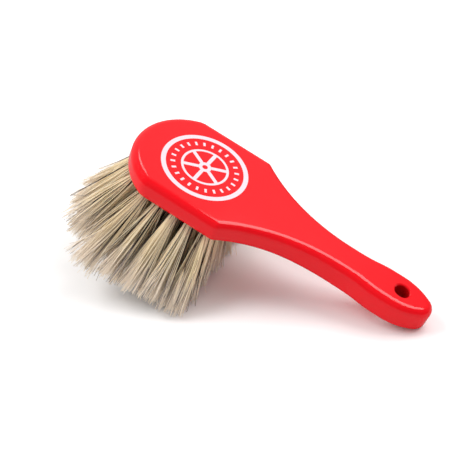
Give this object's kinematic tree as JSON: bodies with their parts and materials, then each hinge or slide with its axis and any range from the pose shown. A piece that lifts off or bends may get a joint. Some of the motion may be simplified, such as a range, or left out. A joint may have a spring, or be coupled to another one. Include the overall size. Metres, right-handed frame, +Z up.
{
  "type": "wheel brush",
  "caption": "Short-handled wheel brush: glossy one-piece block with a round-nosed head, hanging hole, and fanned tufts of stiff natural bristle.",
  "frame": {"origin": "on the table, under the middle of the bounding box of the brush as it rests on its rear bristle tips and the end of its handle", "axes": "+X runs level along the brush from the nose to the end of the handle, +Y runs across the head, +Z points up, away from the table"},
  "size_m": [0.2582, 0.1406, 0.093],
  "materials": {
    "red_plastic": "glossy",
    "bristle": "matte natural bristle, cream mixed with dark strands",
    "anchor_wire": "drawn flat wire"
  },
  "bodies": {
    "root": {"handle_block": "red_plastic", "tuft_anchors": "anchor_wire", "tuft_row1_1": "bristle", "tuft_row1_2": "bristle", "tuft_row1_3": "bristle", "tuft_row1_4": "bristle", "tuft_row1_5": "bristle", "tuft_row2_1": "bristle", "tuft_row2_2": "bristle", "tuft_row2_3": "bristle", "tuft_row2_4": "bristle", "tuft_row2_5": "bristle", "tuft_row2_6": "bristle", "tuft_row3_1": "bristle", "tuft_row3_2": "bristle", "tuft_row3_3": "bristle", "tuft_row3_4": "bristle", "tuft_row3_5": "bristle", "tuft_row3_6": "bristle", "tuft_row3_7": "bristle", "tuft_row4_1": "bristle", "tuft_row4_2": "bristle", "tuft_row4_3": "bristle", "tuft_row4_4": "bristle", "tuft_row4_5": "bristle", "tuft_row4_6": "bristle", "tuft_row4_7": "bristle", "tuft_row5_1": "bristle", "tuft_row5_2": "bristle", "tuft_row5_3": "bristle", "tuft_row5_4": "bristle", "tuft_row5_5": "bristle", "tuft_row5_6": "bristle", "tuft_row5_7": "bristle", "tuft_row6_1": "bristle", "tuft_row6_2": "bristle", "tuft_row6_3": "bristle", "tuft_row6_4": "bristle", "tuft_row6_5": "bristle", "tuft_row6_6": "bristle", "tuft_row7_1": "bristle", "tuft_row7_2": "bristle", "tuft_row7_3": "bristle", "tuft_row7_4": "bristle", "tuft_row7_5": "bristle"}
  },
  "joints": []
}
